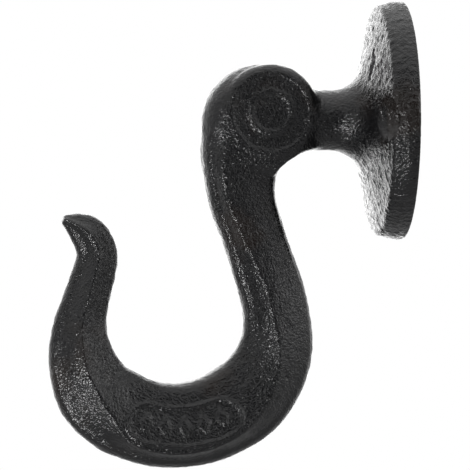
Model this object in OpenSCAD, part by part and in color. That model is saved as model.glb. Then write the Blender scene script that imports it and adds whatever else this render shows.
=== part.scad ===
// Cast-iron wall hook: a round wall plate, a waisted neck, a round knuckle and an S-shaped
// hook, all one solid casting. The origin is the centre of the plate's back face, the wall
// is the plane y = 0, the hook stands out along -Y and +Z is up. Sizes are in millimetres.

/* [Plate] */
// Diameter of the wall plate at the wall
plate_d = 59.5; // [52:0.5:80]
// Thickness of the plate at its rim
rim_t = 6.4; // [5:0.1:9]
// Height of the straight band of the rim, next to the wall
rim_band = 2.8; // [1:0.1:3.5]
// How much smaller the plate's radius is at its front edge
rim_draft = 0.7; // [0:0.1:2]
// Radius that rounds the rim's front edge
rim_round = 1.5; // [0.4:0.1:2]
// Slope of the plate's conical front, in degrees
plate_slope = 13.5; // [8:0.5:18]

/* [Screw holes] */
// Number of countersunk screw holes
hole_n = 2; // [2:1:4]
// Distance of each hole's centre from the edge of the plate
hole_inset = 4.4; // [4.2:0.05:8]
// Diameter of each screw hole
hole_d = 6; // [3.5:0.1:7]
// Diameter of each countersink at the plate's front
sink_d = 11; // [8:0.1:12]
// Full angle of each countersink
sink_angle = 90; // [60:1:120]

/* [Neck] */
// Diameter of the neck where it is narrowest
neck_d = 15.2; // [12:0.1:18]
// Radius of the hollow curve from the plate's cone into the neck
neck_fillet = 8.5; // [5:0.1:10]
// Radius of the hollow curve from the neck into the knuckle
hub_fillet = 6; // [3:0.1:8]

/* [Knuckle] */
// Distance of the knuckle's centre from the wall
hub_out = 34.2; // [30:0.1:50]
// Height of the knuckle's centre above the neck's axis
hub_up = 1.3; // [0:0.1:4]
// Outer diameter of the knuckle around the disc
hub_d = 25.4; // [22:0.1:29]
// Thickness of the knuckle across its two discs
hub_t = 16.4; // [14:0.1:22]
// Radius that rounds the knuckle's edge
hub_round = 3; // [1:0.1:4]
// Diameter of the sunk round disc on each side
disc_d = 19.4; // [14:0.1:20]
// How far the disc's centre lies above the knuckle's centre
disc_up = 0.7; // [0:0.1:1.2]
// Depth of the sunk disc
disc_depth = 0.4; // [0.2:0.1:1]
// Diameter of the raised ring in the disc
ring_d = 11.4; // [8:0.1:13]
// Width of the raised ring
ring_w = 1; // [0.5:0.1:1.5]
// Height of the raised ring
ring_h = 0.4; // [0.2:0.1:0.8]
// Diameter of the shoulder that carries the hook in front of the disc
shoulder_d = 30.8; // [28:0.1:34]
// How far the shoulder's centre lies in front of the disc's centre
shoulder_out = 1.3; // [0:0.1:4]
// How far the shoulder's centre lies below the disc's centre
shoulder_down = 2.6; // [0:0.1:5]
// Radius over which the shoulder rounds off at its edge
shoulder_round = 6; // [3:0.1:7]
// How much thinner the shoulder is than the knuckle
shoulder_thin = 0.8; // [0.2:0.1:2]
// Distance of the shoulder's hollow underside from its centre, where it comes nearest
shoulder_flat = 10.6; // [10:0.1:14]
// Steepness of the line from the shoulder's centre to that nearest place, in degrees
underside_tilt = 55; // [45:1:65]
// Radius of the underside's hollow curve
underside_r = 14.5; // [12:0.5:30]

/* [Shank] */
// How far the shank's root lies in front of the shoulder's centre
root_out = 3.7; // [2:0.1:6]
// How far the shank's root lies below the shoulder's centre
root_down = 3.4; // [2:0.1:6]
// Lean of the root towards the front, from straight down
root_lean = 26; // [18:1:32]
// Radius of the bend that brings the shank down out of the shoulder
knee_r = 20; // [18:0.5:30]
// Angle of that bend
knee_turn = 28; // [20:1:34]
// Radius of the bend at the top of the straight shank
bend_r = 33.5; // [24:0.5:50]
// Angle of that bend
bend_turn = 16.6; // [8:0.1:20]
// Length of the straight shank
shank_len = 17.5; // [12:0.5:40]
// Width of the shank where it leaves the shoulder
root_w = 24; // [22:0.1:28]
// Width of the shank below the shoulder
knee_w = 18.5; // [16:0.1:22]
// Width of the straight shank
shank_w = 16.3; // [12:0.1:20]
// Thickness of the shank at its ridge
shank_t = 15.4; // [12:0.1:18]
// Distance of the ridge from the middle where the shank leaves the shoulder, towards the front
root_ridge = 5.8; // [4:0.1:7]
// The same distance below the shoulder
knee_ridge = 5.2; // [3:0.1:6]
// The same distance at the top of the straight shank
shank_ridge = 4.3; // [2:0.1:5]
// The same distance at the foot of the straight shank
shank_foot_ridge = 2.2; // [1:0.1:4]

/* [Bow] */
// Radius of the back of the bow, under the shank
back_r = 45.7; // [28:0.1:55]
// Angle of that arc
back_turn = 13.3; // [5:0.1:16]
// Radius of the bow's lower back
low_r = 22.1; // [20:0.1:30]
// Angle of that arc
low_turn = 54.5; // [50:0.5:68]
// Radius of the bottom of the bow
bottom_r = 28.3; // [24:0.1:36]
// Angle of the bottom of the bow
bottom_turn = 75.8; // [66:0.1:80]
// Radius of the heel, where the bow turns up again
heel_r = 14.4; // [12:0.1:18]
// Angle of the heel
heel_turn = 24.2; // [16:0.1:30]
// Radius of the bow's front
front_r = 24.2; // [20:0.1:32]
// Angle of the bow's front
front_turn = 46.9; // [42:0.1:54]
// Width of the bow under the shank
back_w = 17.4; // [14:0.1:20]
// Width of the bow at its bottom
bottom_w = 21.4; // [18:0.1:23]
// Width of the bow at its heel
heel_w = 20; // [17:0.1:21]
// Thickness of the bow at its ridge
bow_t = 16.6; // [13:0.1:20]
// Distance of the ridge from the bow's middle at its back, towards the inside
back_ridge = 1.7; // [0.5:0.1:3]
// Distance of the ridge from the bow's middle at its lower back, towards the outside
low_ridge = 4.3; // [3:0.1:6]
// The same distance along the bottom, where the ridge runs lowest
bottom_ridge = 6.5; // [4:0.1:7]
// The same distance at the front end of the bottom
heel_ridge = 1.9; // [0.5:0.1:3]

/* [Horn] */
// Length of the straight horn
horn_len = 11.6; // [6:0.1:20]
// Radius of the curl that turns the tip outwards
curl_r = 8.2; // [7:0.1:14]
// Angle of the curl
curl_turn = 68.1; // [50:0.1:80]
// Radius of the lip at the tip
lip_r = 20.5; // [14:0.1:30]
// Angle of the lip
lip_turn = 18; // [10:0.5:24]
// Width of the horn at its foot
foot_w = 12.5; // [10:0.1:15]
// Width of the horn below the curl
horn_w = 10.9; // [8:0.1:13]
// Width at the end of the curl
curl_w = 9; // [6:0.1:10]
// Width of the blunt end of the lip
tip_w = 2.4; // [1:0.1:3]
// Thickness of the horn at its foot
foot_t = 13; // [10:0.1:16]
// Thickness of the horn below the curl
horn_t = 11.4; // [8:0.1:14]
// Thickness at the end of the curl
curl_t = 9.6; // [6:0.1:12]
// Thickness of the lip's end
tip_t = 5.6; // [3:0.1:8]

/* [Edges] */
// Radius that rounds the inner and outer edges of the hook
edge_round = 2.4; // [1:0.1:3]
// How far each flank swells above a flat between its edge and the ridge
flank_crown = 0.25; // [0.1:0.05:0.5]

/* [Relief] */
// Length of the low relief panel along the bottom of the bow
panel_len = 30; // [24:0.5:33]
// Height of the panel across the bow
panel_w = 10.6; // [8:0.1:11.5]
// Distance of the panel's middle from the bow's middle line, towards the outside
panel_mid = 0.4; // [0:0.1:1]
// Height of the relief above the casting
relief_h = 0.5; // [0.3:0.1:0.8]
// Width of the bead around the panel
bead_w = 0.9; // [0.6:0.1:1.4]
// Number of lozenges in the panel
lozenge_n = 5; // [3:1:6]
// Length of each lozenge across the bow
lozenge_h = 6.5; // [4:0.1:6.8]

/* [Hidden] */
iron = [0.06, 0.06, 0.065];
ROUND = 96; // sides of the round parts
STEP = 1.6; // longest stretch between two sections of the hook
CORNER = 3; // facets in each rounded edge
BITE = 0.6; // how far a joined shape reaches into its neighbour

// ---- Plate, neck and screw holes --------------------------------------------------------
plate_r = plate_d / 2;
hole_at = plate_r - hole_inset;
rim_r = plate_r - rim_draft;
neck_r = neck_d / 2;
hub_r = hub_d / 2;
// Depth of the conical front at a distance r from the plate's axis
function cone_depth(r) = rim_t + (rim_r - r) * tan(plate_slope);
// Centre of the round on the rim's front edge
rim_c = [rim_r - rim_round, cone_depth(rim_r - rim_round) - rim_round / cos(plate_slope)];
// Centre of the hollow curve between the cone and the neck
hollow_r = neck_r + neck_fillet;
hollow_c = [hollow_r, cone_depth(hollow_r) + neck_fillet / cos(plate_slope)];
// Distance from the wall at which the neck starts to widen into the knuckle, so that the
// hollow curve touches the knuckle's edge
flare_lift = neck_r + hub_fillet - hub_up;
flare_out = hub_out - sqrt(pow(hub_r + hub_fillet, 2) - pow(flare_lift, 2));
flare_turn = acos(flare_lift / (hub_r + hub_fillet)); // angle of that hollow curve

function on_arc(c, r, a) = [c.x + r * cos(a), c.y + r * sin(a)];

module plate_and_neck() {
    rim_end = 90 - plate_slope;
    rotate([90, 0, 0])
        rotate_extrude($fn = ROUND)
            polygon([
                [0, 0],
                [plate_r, 0],
                [plate_r, rim_band],
                for (i = [0 : 6]) on_arc(rim_c, rim_round, rim_end * i / 6),
                for (i = [0 : 12]) on_arc(hollow_c, neck_fillet, 180 + rim_end * (1 - i / 12)),
                [neck_r, hub_out],
                [0, hub_out]
            ]);
}

// The neck's widening towards the knuckle, kept inside the knuckle's thickness
module flare() {
    drop = hub_up / 2;
    intersection() {
        translate([0, 0, drop])
            rotate([90, 0, 0])
                rotate_extrude($fn = ROUND)
                    polygon([
                        [0, flare_out],
                        for (i = [0 : 8])
                            [neck_r - drop + hub_fillet * (1 - cos(flare_turn * i / 8)),
                             flare_out + hub_fillet * sin(flare_turn * i / 8)],
                        [0, flare_out + hub_fillet * sin(flare_turn)]
                    ]);
        cube([hub_t - shoulder_thin / 2, 4 * hub_out, 4 * hub_r], center = true);
    }
}

module screw_holes() {
    sink_depth = (sink_d - hole_d) / 2 / tan(sink_angle / 2);
    seat = cone_depth(hole_at) - sink_depth;
    for (i = [0 : hole_n - 1])
        rotate([90, i * 360 / hole_n, 0])
            translate([hole_at, 0, 0]) {
                translate([0, 0, -BITE])
                    cylinder(r = hole_d / 2, h = plate_d / 2, $fn = ROUND);
                translate([0, 0, seat])
                    cylinder(r1 = hole_d / 2, r2 = hole_d / 2 + 2 * sink_depth * tan(sink_angle / 2),
                             h = 2 * sink_depth, $fn = ROUND);
            }
}

// ---- Knuckle ----------------------------------------------------------------------------
face_x = hub_t / 2;
floor_x = face_x - disc_depth;
hub_c = [-hub_out, hub_up];
shoulder_c = [hub_c.x - shoulder_out, hub_c.y - shoulder_down];
disc_c = [hub_c.x, hub_c.y + disc_up];

// Puts a shape made along +Z across the hook, along +X, at a point of its side view
module across(p) {
    translate([0, p.x, p.y])
        rotate([90, 0, 90])
            children();
}

module hub() {
    edge = face_x - hub_round;
    across(hub_c)
        rotate_extrude($fn = ROUND)
            polygon([
                [0, -face_x],
                for (i = [0 : 6]) on_arc([hub_r - hub_round, -edge], hub_round, -90 + 15 * i),
                for (i = [0 : 6]) on_arc([hub_r - hub_round, edge], hub_round, 15 * i),
                [0, face_x]
            ]);
}

module shoulder() {
    half_t = face_x - shoulder_thin / 2;
    flat_r = shoulder_d / 2 - shoulder_round;
    across(shoulder_c)
        rotate_extrude($fn = ROUND)
            polygon([
                [0, -half_t],
                for (i = [-8 : 8])
                    [flat_r + shoulder_round * cos(90 * i / 8), half_t * sin(90 * i / 8)],
                [0, half_t]
            ]);
}

// What is cut from the knuckle's underside, between the neck and the shank
module underside() {
    across(shoulder_c)
        rotate([0, 0, -underside_tilt])
            translate([shoulder_flat + underside_r, 0, 0])
                cylinder(r = underside_r, h = 2 * hub_t, center = true, $fn = ROUND);
}

module knuckle() {
    difference() {
        union() {
            flare();
            hub();
            shoulder();
        }
        underside();
    }
}

module discs() {
    across(disc_c)
        for (side = [-1, 1])
            translate([0, 0, side * (floor_x + hub_t / 2)])
                cylinder(r = disc_d / 2, h = hub_t, center = true, $fn = ROUND);
}

module rings() {
    across(disc_c)
        difference() {
            cylinder(r = ring_d / 2, h = 2 * (floor_x + ring_h), center = true, $fn = ROUND);
            cylinder(r = ring_d / 2 - ring_w, h = 2 * hub_t, center = true, $fn = ROUND);
        }
}

// ---- Hook: a bar swept along a chain of arcs --------------------------------------------
// Each stretch of the middle line holds, at its end: the arc's radius (0 for a straight),
// its turn (or its length), the bar's width and thickness, the ridge's distance from the
// middle line, and how full the inner and the outer flank are at their edges.
BOTTOM = 6; // the bottom of the bow is this stretch and the two after it
SHARES = [0, 0.25, 0.78, 1]; // shares of the bottom's turn at which those three start and end
function bottom_part(i) = -bottom_turn * (SHARES[i + 1] - SHARES[i]);
horn_ridge = 0.2; // from the heel on, the ridge all but keeps to the middle
stretches = [
    [0, 0, root_w, shank_t, -root_ridge, 0.75, 0.85],
    [knee_r, knee_turn, knee_w, shank_t, -knee_ridge, 0.65, 0.85],
    [bend_r, bend_turn, shank_w, shank_t, -shank_ridge, 0.6, 0.82],
    [0, shank_len, shank_w, shank_t, -shank_foot_ridge, 0.5, 0.72],
    [back_r, -back_turn, back_w, (shank_t + bow_t) / 2, -back_ridge, 0.5, 0.62],
    [low_r, -low_turn, bottom_w, bow_t, low_ridge, 0.55, 0.5],
    [bottom_r, bottom_part(0), bottom_w, bow_t, bottom_ridge, 0.6, 0.45],
    [bottom_r, bottom_part(1), bottom_w, bow_t, bottom_ridge, 0.6, 0.45],
    [bottom_r, bottom_part(2), bottom_w, bow_t, heel_ridge, 0.55, 0.45],
    [heel_r, -heel_turn, heel_w, bow_t, 2 * horn_ridge, 0.5, 0.45],
    [front_r, -front_turn, foot_w, foot_t, horn_ridge, 0.5, 0.45],
    [0, horn_len, horn_w, horn_t, horn_ridge, 0.5, 0.5],
    [curl_r, curl_turn, curl_w, curl_t, horn_ridge / 2, 0.55, 0.55],
    [lip_r, lip_turn, tip_w, tip_t, 0, 0.6, 0.6]
];
start = [shoulder_c.x - root_out, shoulder_c.y - root_down, -90 - root_lean];

// Place and heading [y, z, heading] at a share f of a stretch that starts at p
function run(p, row, f) =
    row[0] == 0
        ? [p.x + f * row[1] * cos(p.z), p.y + f * row[1] * sin(p.z), p.z]
        : let (r = sign(row[1]) * row[0], a = p.z + f * row[1])
            [p.x + r * (sin(a) - sin(p.z)), p.y - r * (cos(a) - cos(p.z)), a];
function length_of(row) = row[0] == 0 ? row[1] : row[0] * abs(row[1]) * PI / 180;

count = len(stretches);
joints = [for (i = 0, p = start; i < count;
               i = i + 1, p = i < count ? run(p, stretches[i], 1) : p) p];
knots = [for (i = 0, s = 0; i < count;
              i = i + 1, s = i < count ? s + length_of(stretches[i]) : s) s];

// Smooth value at a distance s along the bar, at share f of stretch i, of a column
function slope_at(c, i) =
    let (a = max(i - 1, 0), b = min(i + 1, count - 1))
        (stretches[b][c] - stretches[a][c]) / (knots[b] - knots[a]);
function smooth(c, i, f) =
    let (h = knots[i] - knots[i - 1], u = 1 - f)
        stretches[i - 1][c] * u * u * (1 + 2 * f) + stretches[i][c] * f * f * (3 - 2 * f)
        + h * f * u * (slope_at(c, i - 1) * u - slope_at(c, i) * f);

// A section is [place, half width, half thickness, ridge, inner and outer fullness]
function section(i, f) =
    concat([run(joints[i - 1], stretches[i], f), smooth(2, i, f) / 2, smooth(3, i, f) / 2],
           [for (c = [4 : 6]) smooth(c, i, f)]);
sections = [
    for (i = [1 : count - 1])
        let (n = ceil(length_of(stretches[i]) / STEP))
            for (k = [0 : i == count - 1 ? n : n - 1]) section(i, k / n)
];

// Half outline of a section in its own plane, [distance from the middle line, x], from the
// inner edge over the ridge to the outer edge
function half_outline(q) =
    let (a = q[1], b = q[2], ridge = q[3],
         ci = min(edge_round, 0.6 * (a + ridge)), co = min(edge_round, 0.6 * (a - ridge)),
         ei = b * q[4], eo = b * q[5], crown = min(flank_crown, b / 12))
        [for (k = [0 : CORNER])
            [-a + ci - ci * cos(90 * k / CORNER), ei * sin(90 * k / CORNER)],
         [(ridge - a + ci) / 2, (b + ei) / 2 + crown],
         [ridge, b],
         [(ridge + a - co) / 2, (b + eo) / 2 + crown],
         for (k = [CORNER : -1 : 0])
            [a - co + co * cos(90 * k / CORNER), eo * sin(90 * k / CORNER)]];
function outline(q) =
    let (front = half_outline(q), n = len(front))
        concat(front, [for (k = [n - 2 : -1 : 1]) [front[k].x, -front[k].y]]);
// The points of a section in space
function ring(q) =
    let (h = q[0].z)
        [for (p = outline(q)) [p.y, q[0].x - p.x * sin(h), q[0].y + p.x * cos(h)]];

// The bar's skin runs from section to section; each end is a fan about its middle
module bar() {
    sides = len(outline(sections[0]));
    last = len(sections) - 1;
    ends = len(sections) * sides;
    polyhedron(
        points = [
            for (q = sections) each ring(q),
            for (q = [sections[0], sections[last]]) [0, q[0].x, q[0].y]
        ],
        faces = [
            for (k = [0 : sides - 1])
                let (n = (k + 1) % sides)
                    each [[n, k, ends], [last * sides + k, last * sides + n, ends + 1]],
            for (i = [0 : last - 1], k = [0 : sides - 1])
                let (a = i * sides + k, b = i * sides + (k + 1) % sides)
                    each [[a, b, a + sides], [b, b + sides, a + sides]]
        ],
        convexity = 6);
}

// ---- Relief panel on the side that faces +X ----------------------------------------------
// Section at a turn along the bottom of the bow
function bottom_q(turn) =
    let (f = turn / bottom_turn, i = f < SHARES[1] ? 0 : f < SHARES[2] ? 1 : 2)
        section(BOTTOM + i, (f - SHARES[i]) / (SHARES[i + 1] - SHARES[i]));
// Point of the inner flank at a turn along the bottom and a distance n from the middle line
function flank_at(turn, n) =
    let (q = bottom_q(turn), line = half_outline(q), a = line[CORNER], b = line[CORNER + 1],
         c = line[CORNER + 2], p = n < b.x ? a : b, o = n < b.x ? b : c,
         h = q[0].z)
        [p.y + (o.y - p.y) * (n - p.x) / (o.x - p.x),
         q[0].x - n * sin(h), q[0].y + n * cos(h)];
TURN_PER_MM = 180 / PI / bottom_r; // turn along the bottom for each mm of the middle line
panel_at = 0.49 * bottom_turn; // turn at the panel's middle
// The same point with the distance u along the bow counted from the panel's middle
function on_panel(u, v) = flank_at(panel_at + u * TURN_PER_MM, panel_mid + v);

function unit(v) = v / norm(v);
// The three directions of the surface at a point of the panel: along, across and out
function facing(u, v) =
    let (along = unit(on_panel(u + 1, v) - on_panel(u - 1, v)),
         to = unit(on_panel(u, v + 1) - on_panel(u, v - 1)),
         out = unit(cross(along, to)))
        [along, cross(out, along), out];

// The bead runs round the panel: two straights joined by half circles
bead_r = (panel_w - bead_w) / 2;
bead_run = panel_len / 2 - panel_w / 2;
BEAD_TURNS = 12; // sections in each half circle
BEAD_LINE = 9; // sections in each straight
bead_path = [
    for (side = [0, 1]) each concat(
        [for (k = [0 : BEAD_TURNS])
            let (a = 180 * side - 90 + 180 * k / BEAD_TURNS)
                [(1 - 2 * side) * bead_run + bead_r * cos(a), bead_r * sin(a)]],
        [for (k = [1 : BEAD_LINE - 1])
            [(1 - 2 * side) * bead_run * (1 - 2 * k / BEAD_LINE), (1 - 2 * side) * bead_r]])
];
// Its sides slope, so that its top is half as wide as its foot
bead_root = bead_w / 2 + bead_w / 4 * BITE / relief_h;
bead_outline = [
    [-bead_root, -BITE], [-bead_w / 4, relief_h], [bead_w / 4, relief_h], [bead_root, -BITE]
];

module bead() {
    n = len(bead_path);
    m = len(bead_outline);
    polyhedron(
        points = [
            for (i = [0 : n - 1])
                let (p = bead_path[i], way = unit(bead_path[(i + 1) % n] - bead_path[(i + n - 1) % n]),
                     f = facing(p.x, p.y), side = f[0] * way.y - f[1] * way.x)
                    for (o = bead_outline) on_panel(p.x, p.y) + side * o.x + f[2] * o.y
        ],
        faces = [
            for (i = [0 : n - 1], k = [0 : m - 1])
                let (a = i * m, b = (i + 1) % n * m, l = (k + 1) % m)
                    each [[a + k, b + k, a + l], [a + l, b + k, b + l]]
        ],
        convexity = 6);
}

// Puts a shape drawn flat, with x along the bow, on the panel at a distance along it
module on_flank(u) {
    p = on_panel(u, 0);
    f = facing(u, 0);
    multmatrix([for (i = [0 : 2]) [f[0][i], f[1][i], f[2][i], p[i]]])
        children();
}

LOZENGE_SHAPE = 0.62; // a lozenge's width along the bow as a share of its length
LOZENGE_TOP = 0.7; // size of its top as a share of its foot
module lozenge(h) {
    w = h * LOZENGE_SHAPE;
    translate([0, 0, -BITE])
        linear_extrude(height = BITE + relief_h, scale = LOZENGE_TOP)
            polygon([[-w / 2, 0], [0, -h / 2], [w / 2, 0], [0, h / 2]]);
}

module lozenges() {
    row = panel_len - panel_w;
    for (i = [0 : lozenge_n - 1])
        on_flank(row * (i / (lozenge_n - 1) - 1 / 2))
            lozenge(lozenge_h);
}

module relief() {
    lozenges();
    bead();
}

module hook() {
    color(iron) {
        difference() {
            union() {
                plate_and_neck();
                knuckle();
                bar();
                relief();
            }
            discs();
            screw_holes();
        }
        rings();
    }
}

hook();
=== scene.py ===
"""Looks of a cast-iron wall hook in glossy black paint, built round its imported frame."""

import math

import bpy
import numpy as np
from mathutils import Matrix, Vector


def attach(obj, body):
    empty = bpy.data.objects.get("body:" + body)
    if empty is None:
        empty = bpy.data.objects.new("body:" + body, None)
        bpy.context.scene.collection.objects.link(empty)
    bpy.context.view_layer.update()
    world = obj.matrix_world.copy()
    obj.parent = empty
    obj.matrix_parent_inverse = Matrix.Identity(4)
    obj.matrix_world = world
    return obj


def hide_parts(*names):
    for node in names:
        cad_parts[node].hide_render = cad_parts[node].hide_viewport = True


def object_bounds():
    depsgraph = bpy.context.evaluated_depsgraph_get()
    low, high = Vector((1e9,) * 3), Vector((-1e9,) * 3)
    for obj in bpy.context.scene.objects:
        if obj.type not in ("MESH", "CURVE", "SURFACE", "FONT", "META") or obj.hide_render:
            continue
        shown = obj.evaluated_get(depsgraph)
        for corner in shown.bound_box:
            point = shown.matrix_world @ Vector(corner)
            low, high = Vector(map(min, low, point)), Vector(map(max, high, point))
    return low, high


MM = 0.001

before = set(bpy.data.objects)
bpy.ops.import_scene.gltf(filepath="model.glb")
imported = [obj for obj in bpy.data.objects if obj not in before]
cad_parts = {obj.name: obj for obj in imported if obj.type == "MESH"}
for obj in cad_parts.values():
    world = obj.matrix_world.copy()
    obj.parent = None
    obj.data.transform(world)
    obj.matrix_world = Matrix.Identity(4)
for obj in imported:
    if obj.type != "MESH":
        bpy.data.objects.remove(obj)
cad_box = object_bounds()


# ---- The casting: the frame's solid with soft cast edges --------------------------------
VOXEL = 0.30 * MM      # size of the remeshed casting's cells
KEEP = 196000          # triangles left after the flat parts are thinned out
ROUNDS = 70            # most rounds of smoothing that any edge of the casting gets

# Places in the frame, in mm: x is across the hook, y is negative away from the wall, z is up
HUB = (-34.2, 1.3)           # y and z of the knuckle's centre
HUB_R = 13.0                 # radius of the knuckle's edge
DISC = (-34.2, 2.0)          # y and z of the centre of its disc
UNDERSIDE = (-30.0, -12.0)   # y and z of the hollow between knuckle and shank

# Soft borders of those places, in mm
HUB_EDGE = (1.5, 3.5)                          # distance from the knuckle's edge
NECK_SIDE = (-29.0, -25.0)                     # y, from the knuckle's middle to the neck
UNDERSIDE_R = (3.0, 6.0)                       # distance from the hollow
PLATE_Y = (-14.0, -9.0)
DISC_R = (10.5, 12.0)
DISC_X = (6.5, 7.4)
PANEL_X = (3.5, 4.5)
PANEL_Y = ((-74.0, -71.0), (-41.0, -38.0))     # its first and its last border
PANEL_Z = ((-84.0, -82.5), (-68.0, -66.0))

# Share of the smoothing that each place gets, from 0 to 1
SOFT_BAR = 0.18              # neck, shank, bow and horn
SOFT_HUB = (0.35, 1.0)       # the knuckle's edge, away from the neck and towards it
SOFT_UNDERSIDE = 0.06
SOFT_PLATE = 0.04
SOFT_DISC = 0.09
SOFT_PANEL = 0.04


def apply_modifiers(obj):
    """Replaces an object's mesh by its modified one."""
    graph = bpy.context.evaluated_depsgraph_get()
    mesh = bpy.data.meshes.new_from_object(obj.evaluated_get(graph))
    old = obj.data
    obj.modifiers.clear()
    obj.data = mesh
    bpy.data.meshes.remove(old)


def read(mesh, what, attribute, width=3, kind=float):
    """Values of one attribute of a mesh's parts, one row for each part."""
    values = np.empty(len(what) * width, dtype=kind)
    what.foreach_get(attribute, values)
    return values.reshape(-1, width)


def smooth_step(x, lo, hi):
    t = np.clip((x - lo) / (hi - lo), 0, 1)
    return t * t * (3 - 2 * t)


def inside(x, first, last):
    """1 between two soft borders and 0 outside them."""
    return smooth_step(x, *first) * (1 - smooth_step(x, *last))


def waves(points, size, seed, count=28):
    """Smooth noise of about -1 to 1 whose lumps are about size mm across."""
    rng = np.random.default_rng(seed)
    total = np.zeros(len(points))
    for _ in range(count):
        way = rng.normal(size=3)
        way *= 2 * math.pi / (2 * size * rng.uniform(0.7, 1.4)) / np.linalg.norm(way)
        total += np.sin(points @ way + rng.uniform(0, 2 * math.pi))
    return total / math.sqrt(count / 2)


def softness(p):
    """Share of the smoothing that each point gets. Points are in mm."""
    x, y, z = p.T
    from_hub = np.hypot(y - HUB[0], z - HUB[1])
    from_disc = np.hypot(y - DISC[0], z - DISC[1])
    from_underside = np.hypot(y - UNDERSIDE[0], z - UNDERSIDE[1])
    underside = 1 - smooth_step(from_underside, *UNDERSIDE_R)
    plate = smooth_step(y, *PLATE_Y)
    disc = (1 - smooth_step(from_disc, *DISC_R)) * smooth_step(np.abs(x), *DISC_X)
    panel = inside(y, *PANEL_Y) * inside(z, *PANEL_Z) * smooth_step(x, *PANEL_X)
    hub_edge = 1 - smooth_step(np.abs(from_hub - HUB_R), *HUB_EDGE)
    hub_soft = SOFT_HUB[0] + (SOFT_HUB[1] - SOFT_HUB[0]) * smooth_step(y, *NECK_SIDE)
    soft = np.maximum(SOFT_BAR, hub_edge * hub_soft)
    for place, share in ((underside, SOFT_UNDERSIDE), (plate, SOFT_PLATE),
                         (disc, SOFT_DISC), (panel, SOFT_PANEL)):
        soft += (share - soft) * place
    return soft


def soften(mesh):
    """Rounds the casting's edges, more where its parts run together."""
    points = read(mesh, mesh.vertices, "co") / MM
    ends = read(mesh, mesh.edges, "vertices", 2, np.int32)
    count = len(points)
    a, b = ends.T
    share = 1.0 / np.maximum(np.bincount(a, minlength=count) + np.bincount(b, minlength=count), 1)
    soft = 0.5 * softness(points)
    for _ in range(ROUNDS):
        for k in range(3):
            column = points[:, k]
            near = (np.bincount(a, column[b], count) + np.bincount(b, column[a], count)) * share
            points[:, k] += soft * (near - column)
    mesh.vertices.foreach_set("co", (points * MM).ravel())
    mesh.update()


# The uneven skin: the height of its waves in mm, their size in mm and their seed
SKIN = ((0.045, 5.0, 1), (0.026, 1.8, 2), (0.016, 0.9, 3))
PLATE_SKIN = (0.045, 0.8, 4)     # more lumps, on the plate alone
PLATE_SKIN_Y = (-13.0, -10.0)    # where they begin and where they are full, in mm
WALL_Y = (-0.4, -0.1)            # where the skin fades out, for the plate's back is flat

# Pits and scars of the sand casting: both ends in mm, radius in mm, depth in mm
MARKS = [
    # on the bow
    ((6.9, -30.3, -64.2), (6.9, -30.3, -64.2), 0.45, 0.40),
    ((7.2, -32.9, -69.4), (7.2, -32.9, -69.8), 0.35, 0.30),
    # a broken scar on the plate's front, above the neck
    ((8.8, -9.0, 17.4), (9.6, -9.1, 15.6), 0.60, 0.65),
    ((10.8, -9.1, 15.4), (11.4, -9.1, 13.9), 0.75, 0.70),
    ((10.2, -9.6, 13.2), (10.6, -9.7, 12.0), 0.80, 0.70),
    ((9.8, -9.9, 11.2), (10.2, -10.0, 10.2), 0.50, 0.50),
    # near the plate's top
    ((3.2, -7.8, 23.4), (2.6, -7.8, 23.0), 0.45, 0.35),
    ((-3.0, -7.8, 23.1), (-3.4, -7.8, 22.6), 0.45, 0.35),
    ((11.3, -6.8, 25.2), (11.0, -6.9, 24.6), 0.45, 0.30),
    ((14.7, -7.3, 20.8), (14.5, -7.4, 20.0), 0.40, 0.30),
    # near the plate's foot
    ((7.8, -6.2, -27.5), (6.8, -6.5, -26.9), 0.50, 0.30),
    ((3.4, -6.5, -28.0), (2.9, -6.6, -27.4), 0.50, 0.30),
    # a shallow dent on the knuckle
    ((7.5, -46.2, -4.0), (7.4, -46.6, -7.6), 0.60, 0.12),
]


def cast_marks(p):
    """Height, in mm, by which each point of the casting lies above its true surface."""
    rise = sum(high * waves(p, size, seed) for high, size, seed in SKIN)
    high, size, seed = PLATE_SKIN
    rise += high * smooth_step(p[:, 1], *PLATE_SKIN_Y) * waves(p, size, seed)
    for start, end, radius, deep in MARKS:
        start, end = np.array(start), np.array(end)
        along = end - start
        share = np.clip((p - start) @ along / max(along @ along, 1e-9), 0, 1)
        away = np.linalg.norm(p - start - share[:, None] * along, axis=1)
        rise -= deep * np.exp(-((away / radius) ** 2))
    return rise


def make_casting():
    """The frame's solid, finely remeshed, softened and marked, inside the CAD box."""
    casting = bpy.data.objects.new("casting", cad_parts["hook"].data.copy())
    bpy.context.scene.collection.objects.link(casting)
    remesh = casting.modifiers.new("remesh", "REMESH")
    remesh.mode = "VOXEL"
    remesh.voxel_size = VOXEL
    apply_modifiers(casting)
    mesh = casting.data
    soften(mesh)
    points = read(mesh, mesh.vertices, "co")
    normals = read(mesh, mesh.vertices, "normal")
    on_wall = smooth_step(points[:, 1] / MM, *WALL_Y)
    rise = cast_marks(points / MM) * (1 - on_wall) * MM
    skin = np.clip(points + normals * rise[:, None], cad_box[0], cad_box[1])
    mesh.vertices.foreach_set("co", skin.ravel())
    mesh.update()
    triangles = sum(len(p.vertices) - 2 for p in mesh.polygons)
    thin = casting.modifiers.new("thin", "DECIMATE")
    thin.ratio = min(1.0, KEEP / triangles)
    apply_modifiers(casting)
    casting.data.polygons.foreach_set("use_smooth", [True] * len(casting.data.polygons))
    return casting


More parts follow.
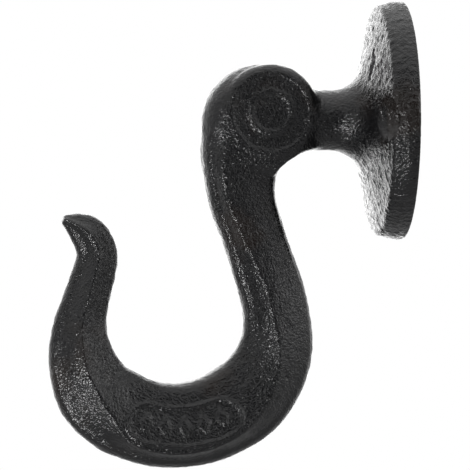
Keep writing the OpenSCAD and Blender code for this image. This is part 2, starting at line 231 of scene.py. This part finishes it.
# ---- Material ---------------------------------------------------------------------------
class Nodes:
    """Short calls that add shader nodes to one tree."""

    def __init__(self, tree):
        self.tree = tree
        tree.nodes.clear()

    def add(self, kind, **settings):
        node = self.tree.nodes.new(kind)
        for key, value in settings.items():
            if key == "inputs":
                for name, given in value.items():
                    self.put(node.inputs[name], given)
            else:
                setattr(node, key, value)
        return node

    def put(self, socket, given):
        if isinstance(given, bpy.types.NodeSocket):
            self.tree.links.new(given, socket)
        else:
            socket.default_value = given

    def math(self, operation, *values):
        node = self.add("ShaderNodeMath", operation=operation)
        for socket, given in zip(node.inputs, values):
            self.put(socket, given)
        return node.outputs[0]

    def noise(self, vector, scale, detail, rough):
        node = self.add("ShaderNodeTexNoise", inputs={
            "Vector": vector, "Scale": scale, "Detail": detail, "Roughness": rough})
        return node.outputs["Fac"]

    def step(self, value, lo, hi, to_lo=0.0, to_hi=1.0):
        node = self.add("ShaderNodeMapRange", interpolation_type="SMOOTHSTEP", inputs={
            "Value": value, "From Min": lo, "From Max": hi, "To Min": to_lo, "To Max": to_hi})
        return node.outputs["Result"]


HOLES_AT = 25.35 * MM              # distance of the two screw holes from the plate's middle
SINK_EDGE = (4.9 * MM, 5.6 * MM)   # soft edge of their countersinks

# Noises of the paint: scale, detail and roughness
GRAIN = (1700.0, 1.5, 0.6)
LUMPS = (560.0, 2.0, 0.6)
PATCHES = (90.0, 3.0, 0.6)         # where the gloss is duller
STAINS = (55.0, 3.0, 0.6)          # where the black is browner
GRAIN_HEIGHT = 0.30                # in mm, as the lumps' height
LUMPS_HEIGHT = 0.13

BLACK = (0.005, 0.005, 0.0055, 1)
BROWN = (0.0085, 0.0062, 0.0052, 1)
SHINY, DULL = 0.13, 0.20           # roughness of the paint, from patch to patch
DULL_HOLES = 0.24                  # and in the countersinks
PAINT_IOR = 1.38


def near_holes(n, where):
    """1 in the countersinks, where the paint is dull and brown, and 0 elsewhere."""
    x, _, z = n.add("ShaderNodeSeparateXYZ", inputs={"Vector": where}).outputs
    dx = n.math("SUBTRACT", n.math("ABSOLUTE", x), HOLES_AT)
    away = n.math("ADD", n.math("MULTIPLY", dx, dx), n.math("MULTIPLY", z, z))
    return n.step(n.math("SQRT", away), *SINK_EDGE, 1.0, 0.0)


def black_paint():
    material = bpy.data.materials.new("black_paint")
    material.use_nodes = True
    n = Nodes(material.node_tree)
    out = n.add("ShaderNodeOutputMaterial")
    where = n.add("ShaderNodeTexCoord").outputs["Object"]
    grain = n.math("MULTIPLY", n.noise(where, *GRAIN), GRAIN_HEIGHT)
    lumps = n.math("MULTIPLY", n.noise(where, *LUMPS), LUMPS_HEIGHT)
    bump = n.add("ShaderNodeBump", inputs={
        "Strength": 1.0, "Distance": 1.0 * MM, "Height": n.math("ADD", grain, lumps)})
    holes = near_holes(n, where)
    rough = n.step(n.noise(where, *PATCHES), 0.3, 0.7, SHINY, DULL)
    rough = n.math("MAXIMUM", rough, n.math("MULTIPLY", holes, DULL_HOLES))
    stained = n.math("MAXIMUM", n.step(n.noise(where, *STAINS), 0.54, 0.72), holes)
    tint = n.add("ShaderNodeMix", data_type="RGBA", inputs={"Factor": stained})
    n.put(tint.inputs[6], BLACK)
    n.put(tint.inputs[7], BROWN)
    paint = n.add("ShaderNodeBsdfPrincipled", inputs={
        "Base Color": tint.outputs[2], "Roughness": rough,
        "Normal": bump.outputs[0], "IOR": PAINT_IOR})
    n.tree.links.new(paint.outputs[0], out.inputs["Surface"])
    return material


casting = make_casting()
casting.data.materials.clear()
casting.data.materials.append(black_paint())
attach(casting, "root")
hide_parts("hook")


# ---- Floor, light and camera, in metres -------------------------------------------------
FLOOR_DROP = 0.40            # from the hook's lowest point
FLOOR_HALF = 1.2             # half the floor's side
FLOOR_COLOR = (0.72, 0.72, 0.72, 1)
FLOOR_ROUGHNESS = 0.8

YAW = math.radians(8.2)      # the camera stands at +X, turned this far towards the hook's front
DISTANCE = 2.2
FRAME_WIDTH = 117.5 * MM     # what the picture's width covers at the hook
TARGET = Vector((0, -42.3 * MM, -28.7 * MM))
TO_CAMERA = Vector((math.cos(YAW), -math.sin(YAW), 0))

# Strength of the studio's glow, where 1 is white
BEHIND = 1.6                 # behind the hook, on the plate's side of the picture
BEHIND_LEAST = 0.4           # share of it that is left on the other side
OVERHEAD = 1.7
AROUND = 0.5                 # level and below
DULL_SHARE = 0.5             # share of the glow that dull faces get

DARK_SIDES = 48              # corners of a dark opening
DARK_COLOR = (0.04, 0.04, 0.04, 1)
DARK_CORE = 0.45             # share of its radius out to which it is fully dark
CARD_WAY = (0.15, -0.98, -0.12)

MIDDLE = (0, -0.04, -0.03)   # about the middle of the hook
BOW_LEFT = (0, -0.078, -0.066)
PLATE = (0, -0.01, 0.0)


def make_floor():
    z = cad_box[0][2] - FLOOR_DROP
    mesh = bpy.data.meshes.new("floor")
    mesh.from_pydata([(-FLOOR_HALF, -FLOOR_HALF, z), (FLOOR_HALF, -FLOOR_HALF, z),
                      (FLOOR_HALF, FLOOR_HALF, z), (-FLOOR_HALF, FLOOR_HALF, z)],
                     [], [(0, 1, 2, 3)])
    material = bpy.data.materials.new("floor")
    material.use_nodes = True
    shader = material.node_tree.nodes["Principled BSDF"]
    shader.inputs["Base Color"].default_value = FLOOR_COLOR
    shader.inputs["Roughness"].default_value = FLOOR_ROUGHNESS
    mesh.materials.append(material)
    floor = bpy.data.objects.new("floor", mesh)
    bpy.context.scene.collection.objects.link(floor)


def make_world():
    """A white studio that grows brighter behind the hook and overhead.

    The camera, gloss and glass see it white at least; dull faces get it dimmer."""
    world = bpy.data.worlds.new("studio")
    bpy.context.scene.world = world
    world.use_nodes = True
    n = Nodes(world.node_tree)
    out = n.add("ShaderNodeOutputWorld")
    way = n.add("ShaderNodeSeparateXYZ", inputs={
        "Vector": n.add("ShaderNodeTexCoord").outputs["Generated"]})
    x, y, z = way.outputs
    behind = n.math("MULTIPLY", n.step(x, -0.95, -0.35, 1.0, 0.0),
                    n.step(y, -0.15, 0.15, 1.0, BEHIND_LEAST))
    glow = n.math("MAXIMUM", n.math("MULTIPLY", behind, BEHIND),
                  n.step(z, 0.3, 0.95, AROUND, OVERHEAD))
    path = n.add("ShaderNodeLightPath")
    glow = n.math("MULTIPLY", glow, n.math("MAXIMUM", path.outputs["Is Glossy Ray"], DULL_SHARE))
    seen = n.math("MAXIMUM", path.outputs["Is Camera Ray"], path.outputs["Is Transmission Ray"])
    seen = n.math("MAXIMUM", seen, path.outputs["Is Glossy Ray"])
    light = n.add("ShaderNodeBackground", inputs={
        "Color": (1, 1, 1, 1), "Strength": n.math("MAXIMUM", seen, glow)})
    n.tree.links.new(light.outputs[0], out.inputs["Surface"])


def make_dark(name, way, radius):
    """A dark round opening of the studio, 1 m from the hook.

    The gloss shows it. The camera doesn't, and it throws no shadow."""
    way = Vector(way).normalized()
    middle = TARGET + way
    right = Vector((0, 0, 1)).cross(way).normalized()
    up = way.cross(right)
    ring = [middle + radius * (math.cos(a) * right + math.sin(a) * up)
            for a in (2 * math.pi * i / DARK_SIDES for i in range(DARK_SIDES))]
    mesh = bpy.data.meshes.new(name)
    mesh.from_pydata(ring, [], [tuple(range(DARK_SIDES))])
    material = bpy.data.materials.new(name)
    material.use_nodes = True
    n = Nodes(material.node_tree)
    where = n.add("ShaderNodeNewGeometry").outputs["Position"]
    off = n.add("ShaderNodeVectorMath", operation="DISTANCE", inputs={0: where, 1: middle})
    mix = n.add("ShaderNodeMixShader", inputs={
        "Fac": n.step(off.outputs["Value"], DARK_CORE * radius, radius)})
    dark = n.add("ShaderNodeBsdfDiffuse", inputs={"Color": DARK_COLOR})
    n.tree.links.new(dark.outputs[0], mix.inputs[1])
    n.tree.links.new(n.add("ShaderNodeBsdfTransparent").outputs[0], mix.inputs[2])
    n.tree.links.new(mix.outputs[0], n.add("ShaderNodeOutputMaterial").inputs["Surface"])
    mesh.materials.append(material)
    opening = bpy.data.objects.new(name, mesh)
    bpy.context.scene.collection.objects.link(opening)
    opening.visible_camera = False
    opening.visible_shadow = False


def make_lamp(name, kind, place, aim, watts, **settings):
    """A lamp that points at its aim and isn't seen itself. The settings go on its data."""
    data = bpy.data.lights.new(name, kind)
    data.energy = watts
    for key, value in settings.items():
        setattr(data, key, value)
    lamp = bpy.data.objects.new(name, data)
    bpy.context.scene.collection.objects.link(lamp)
    lamp.location = place
    lamp.rotation_euler = (Vector(aim) - Vector(place)).to_track_quat("-Z", "Y").to_euler()
    lamp.visible_camera = False


def softbox(name, place, aim, width, height, watts):
    make_lamp(name, "AREA", place, aim, watts, shape="RECTANGLE", size=width, size_y=height)


def spot(name, place, aim, radius, cone, watts):
    make_lamp(name, "SPOT", place, aim, watts, shadow_soft_size=radius,
              spot_size=math.radians(cone), spot_blend=1.0)


def make_camera():
    data = bpy.data.cameras.new("camera")
    data.sensor_fit = "HORIZONTAL"
    data.angle = 2 * math.atan(FRAME_WIDTH / 2 / DISTANCE)
    camera = bpy.data.objects.new("camera", data)
    bpy.context.scene.collection.objects.link(camera)
    camera.location = TARGET + DISTANCE * TO_CAMERA
    camera.rotation_euler = (TARGET - camera.location).to_track_quat("-Z", "Y").to_euler()
    bpy.context.scene.camera = camera


make_floor()
make_world()
make_dark("opening", TO_CAMERA, 0.80)
make_dark("dark_card", CARD_WAY, 0.38)
spot("key", (0.62, -0.54, -0.48), BOW_LEFT, 0.08, 16.0, 42.0)
softbox("key_round", (0.65, -0.56, -0.48), MIDDLE, 0.75, 0.75, 6.0)
softbox("back", (-0.30, -0.01, 0.0), PLATE, 0.24, 0.30, 0.44)
softbox("fill", (0.45, 0.75, 0.30), MIDDLE, 0.35, 0.35, 2.0)
make_camera()
bpy.context.scene.view_settings.view_transform = "Standard"
